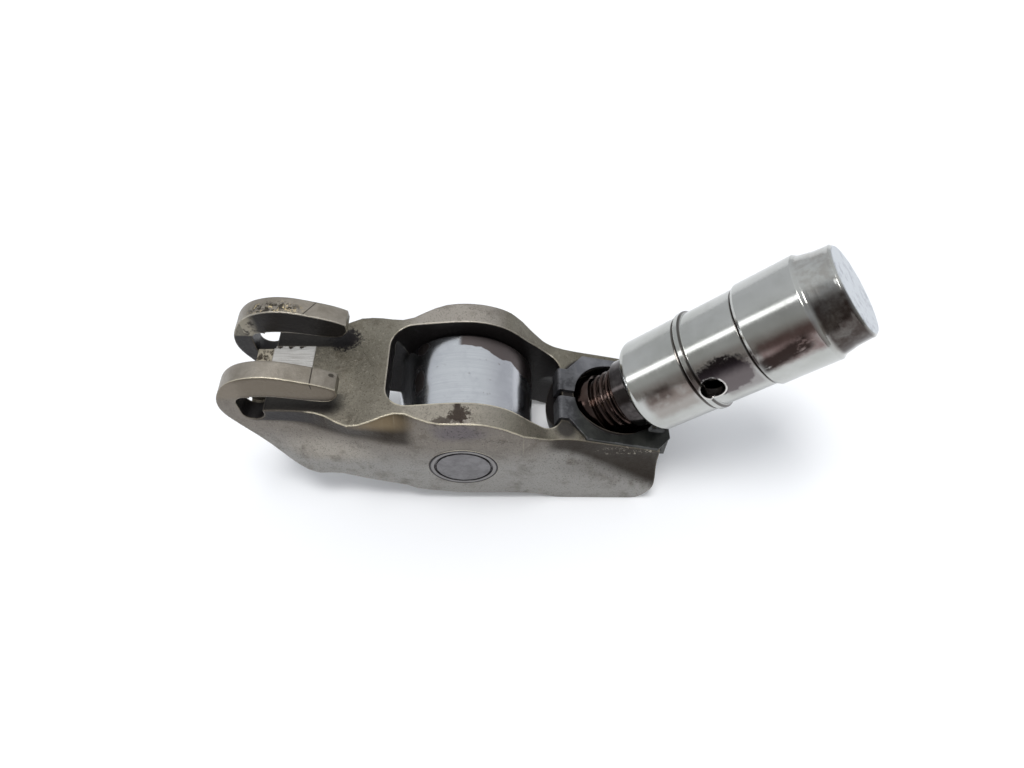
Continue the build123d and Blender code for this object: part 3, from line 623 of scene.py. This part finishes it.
def roller_material():
    """Ground ring with fine rings, pits, oil dried along its two rims, and dark blots on its left
    side that are partly painted shade.
    """
    n = Finish("roller_steel")
    angle = n.math("ARCTAN2", n.z, n.x)
    rings = n.noise(1.0, 4, 0.6, seed=4.0, vector=n.turned(n.y, angle, 5.0, 0.6))
    col = n.mix(*ROLLER["steel"], n.ramp(rings, 0.35, 0.65))
    col = n.paint(col, ROLLER["cloud"], n.flecks(0.45, 0.75, 0.35, 3, 0.6, seed=9.0))
    col = n.paint(col, ROLLER["shade"], n.ramp(n.x, 1.5, 4.5), 0.5)
    col = n.paint(col, ROLLER["pits"], n.flecks(0.64, 0.68, 1.6, 4, 0.8, seed=52.0), 0.6)
    uneven = n.wobble(n.noise(0.55, 3, 0.6, seed=3.3), 1.6)
    slanted = n.math("ADD", n.math("ADD", n.y, n.times(n.x, 0.24)), uneven)
    far = n.times(n.ramp(slanted, 3.35, 3.48), n.ramp(n.x, -0.7, -0.1))
    # dark blots on the roller's left side: partly oil, partly painted shade of the window's wall
    far = n.most(far, *(n.spot(*blot, uneven) for blot in RIM_OIL_AND_SHADE_BLOTS))
    col = n.paint(col, ROLLER["far_oil"], far, 0.93)
    ragged = n.wobble(n.noise(1.1, 4, 0.7, seed=7.7), 1.6)
    near = n.ramp(n.math("SUBTRACT", ragged, n.y), 4.85, 4.95)
    col = n.paint(col, ROLLER["near_oil"], near, 0.9)
    col = n.paint(col, ROLLER["side_oil"], n.ramp(n.math("ABSOLUTE", n.y), 4.95, 5.05), 0.8)
    rough = n.blend(0.16, 0.22, n.ramp(rings, 0.3, 0.7))
    rough = n.blend(rough, 0.35, n.math("ADD", far, near, clamp=True))
    return n.output(n.surface(col, rough, 1.0, n.bump(rings, 0.0020, 0.4, n.bevel(0.15))))


def axle_material():
    """Staked end: oily groove, bright rim and black seam, from the middle outwards."""
    n = Finish("axle_steel")
    radius = n.math("SQRT", n.math("ADD", n.times(n.x, n.x), n.times(n.z, n.z)))
    blot = n.noise(0.8, 5, 0.7, seed=15.0)
    col = n.mix(*AXLE["steel"], n.ramp(blot, 0.38, 0.62))
    col = n.paint(col, AXLE["groove"], n.band(radius, 3.06, 3.28, 0.06),
                  n.blend(0.25, 1.0, n.ramp(blot, 0.40, 0.55)))
    col = n.paint(col, AXLE["rim"], n.band(radius, 3.36, 3.66, 0.05), 0.6)
    col = n.paint(col, AXLE["seam"], n.ramp(radius, 3.68, 3.76), 0.97)
    height = n.math("ADD", n.noise(6.0, 4, 0.7, seed=2.0), n.times(blot, 1.2))
    normal = n.bump(height, 0.03, 0.7, n.bevel(0.12))
    return n.output(n.surface(col, n.blend(0.34, 0.5, blot), 0.85, normal))


def clip_material():
    """Spring steel: painted blue-grey reflection on the far arm, painted shade on the green-black
    near one, black at the left, painted highlights on edges and bend.
    """
    n = Finish("clip_black")
    cloud = n.noise(0.5, 4, 0.65, seed=6.0)
    fine = n.noise(4.0, 4, 0.7, seed=3.0)
    lit_far_arm = n.mix(*CLIP["lit_far_arm"], n.ramp(cloud, 0.35, 0.65))
    shaded_near_arm = n.mix(*CLIP["shaded_near_arm"], n.ramp(cloud, 0.35, 0.65))
    # painted reflection lightens the far arm; painted shade darkens the near one
    col = n.mix(shaded_near_arm, lit_far_arm, n.ramp(n.y, -0.5, 3.6))
    left = n.mix(*CLIP["left"], n.ramp(cloud, 0.40, 0.60))
    col = n.mix(col, left, n.ramp(n.x, 13.6, 12.0))
    rounded = n.bevel(0.14)
    # painted highlights along the clip's edges
    col = n.paint(col, CLIP["edge"], n.edge(rounded, 7.0), n.ramp(cloud, 0.45, 0.6), 0.6)
    # painted highlight on the tongues' bend
    col = n.paint(col, CLIP["bend_highlight"], n.band(n.x, 10.7, 11.2, 0.2), n.ramp(fine, 0.40, 0.6), 0.5)
    normal = n.bump(n.math("ADD", fine, cloud), 0.02, 0.7, rounded)
    return n.output(n.surface(col, n.blend(0.30, 0.45, fine), 0.6, normal))


def inner_material():
    """Plain oily steel of the pieces that the photograph doesn't show."""
    n = Finish("inner_steel")
    fine = n.noise(7.0, 3, 0.6, seed=5.0)
    col = n.mix(*INNER["steel"], n.flecks(0.35, 0.65, 0.9, 4, 0.6, seed=2.0))
    col = n.paint(col, INNER["oil"], n.ramp(fine, 0.55, 0.75), 0.4)
    return n.output(n.surface(col, n.blend(0.2, 0.35, fine), 1.0, n.bump(fine, 0.01, 0.6)))


polished = adjuster_material("polished_steel", ((0.50, 0.505, 0.485), (0.42, 0.425, 0.40)),
                             (0.13, 0.20), housing_stains)
oily = adjuster_material("dark_plunger", ((0.17, 0.155, 0.15), (0.10, 0.085, 0.08)),
                         (0.12, 0.22), plunger_stains)
inner = inner_material()
MATERIALS = {
    "arm_body": arm_material(),
    "cam_roller": roller_material(),
    "roller_axle": axle_material(),
    "retaining_clip": clip_material(),
    "adjuster_housing": polished,
    "plunger_head": oily,
    "lower_plunger": oily,
    "needle_rollers": inner,
    "check_ball": inner,
    "ball_cage": inner,
    "check_spring": inner,
    "return_spring": inner,
}
for name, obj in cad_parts.items():
    obj.data.materials.clear()
    obj.data.materials.append(MATERIALS[name])

# The two springs: joint, t of the fixed end, share kept. Each spring gets a mesh of its own.
SPRINGS = {
    "return_spring": ("plunger_stroke", 28.45, 0.77),
    "check_spring": ("check_lift", 24.07, 0.45),
}
for name, (joint, fixed_end, kept) in SPRINGS.items():
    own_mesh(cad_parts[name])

# ---- Table, room, lamps and camera -----------------------------------------
PAPER = ((0.920, 0.940, 0.975), (0.935, 0.950, 0.980))
GLOW, GLOW_SHARE = (0.97, 0.98, 1.0, 1.0), 0.15    # keeps the paper white to the eye


def table_material():
    n = Finish("white_table")
    colour = n.mix(*PAPER, n.noise(0.01, 3, 0.5, seed=1.0))
    grain = n.bump(n.noise(1.5, 3, 0.55, seed=0.0), 0.01, 0.2)
    paper = n.surface(colour, 0.6, 0.0, grain)
    glow = n.node("ShaderNodeEmission")
    glow.inputs["Color"].default_value = GLOW
    rays = n.node("ShaderNodeLightPath").outputs
    seen = n.math("ADD", rays["Is Camera Ray"], rays["Is Glossy Ray"], clamp=True)
    return n.output(n.mix_shader(n.times(seen, GLOW_SHARE), paper, glow.outputs[0]))


bpy.ops.mesh.primitive_plane_add(size=3.0, location=(0, 0, TABLE_Z * MM))
table = bpy.context.object
table.name = "table_top"
table.data.materials.append(table_material())

# Pale walls all round, a brighter ceiling behind, and a darker room behind the camera.
# The camera itself sees white.
WALLS_FRONT, WALLS_BEHIND = (0.46, 0.465, 0.46), (0.68, 0.70, 0.73)
CEILING_FRONT, CEILING_BEHIND = (0.36, 0.365, 0.38), (0.76, 0.78, 0.80)
DARK_ROOM = (0.26, 0.235, 0.225)

world = bpy.data.worlds.new("studio")
bpy.context.scene.world = world
world.use_nodes = True
room = Net(world.node_tree)
looking = room.node("ShaderNodeSeparateXYZ")
room.link(room.node("ShaderNodeTexCoord").outputs["Generated"], looking.inputs[0])
north, up = looking.outputs[1], looking.outputs[2]
behind = room.ramp(north, -0.10, 0.25)
front = room.times(room.ramp(north, -0.42, -0.70), room.ramp(up, 0.45, 0.25))
walls = room.mix(room.mix(WALLS_FRONT, WALLS_BEHIND, behind), DARK_ROOM, front)
ceiling = room.mix(CEILING_FRONT, CEILING_BEHIND, behind)
background = room.node("ShaderNodeBackground")
room.put(background.inputs["Color"], room.mix(walls, ceiling, room.ramp(up, 0.30, 0.70)))
white = room.node("ShaderNodeBackground")
white.inputs["Color"].default_value = (1, 1, 1, 1)
camera_ray = room.node("ShaderNodeLightPath").outputs["Is Camera Ray"]
room.link(room.mix_shader(camera_ray, background.outputs[0], white.outputs[0]),
          room.node("ShaderNodeOutputWorld").inputs[0])


def area_light(name, place, aim, width, height, watts, colour):
    """Rectangular lamp, in metres, turned from its place to its aim."""
    data = bpy.data.lights.new(name, "AREA")
    data.shape = "RECTANGLE"
    data.size = width
    data.size_y = height
    data.energy = watts
    data.color = colour
    obj = bpy.data.objects.new(name, data)
    bpy.context.collection.objects.link(obj)
    obj.location = place
    obj.rotation_euler = (Vector(aim) - Vector(place)).to_track_quat("-Z", "Y").to_euler()


area_light("overhead", (-0.10, -0.08, 1.5), (0.005, 0, 0), 0.56, 0.56, 14.6, (1.0, 0.99, 0.97))
# a narrow strip, whose reflection is the bright line along the adjuster
area_light("side_left", (-0.43, -0.035, 0.22), (0.02, 0, 0.01), 0.085, 0.24, 0.17,
           (0.97, 0.98, 1.0))

# The camera is fitted to edges in the photograph: focal length in pixels, tilt below the
# horizon, and distance from the point of the table that the middle of the picture shows.
FOCAL_PX, TILT, REACH = 712.58, math.radians(55.69), 97.04
LOOK_AT = Vector((5.5, 8.74, TABLE_Z))
PICTURE_WIDTH_PX, SENSOR_WIDTH = 1024.0, 36.0
forward = Vector((0, math.cos(TILT), -math.sin(TILT)))
camera_data = bpy.data.cameras.new("camera")
camera_data.sensor_width = SENSOR_WIDTH
camera_data.lens = FOCAL_PX / PICTURE_WIDTH_PX * SENSOR_WIDTH
camera_data.clip_start = 2 * MM
camera = bpy.data.objects.new("camera", camera_data)
bpy.context.collection.objects.link(camera)
camera.location = (LOOK_AT - forward * REACH) * MM
camera.rotation_euler = (math.pi / 2 - TILT, 0, 0)
bpy.context.scene.camera = camera
bpy.context.scene.view_settings.view_transform = "Standard"
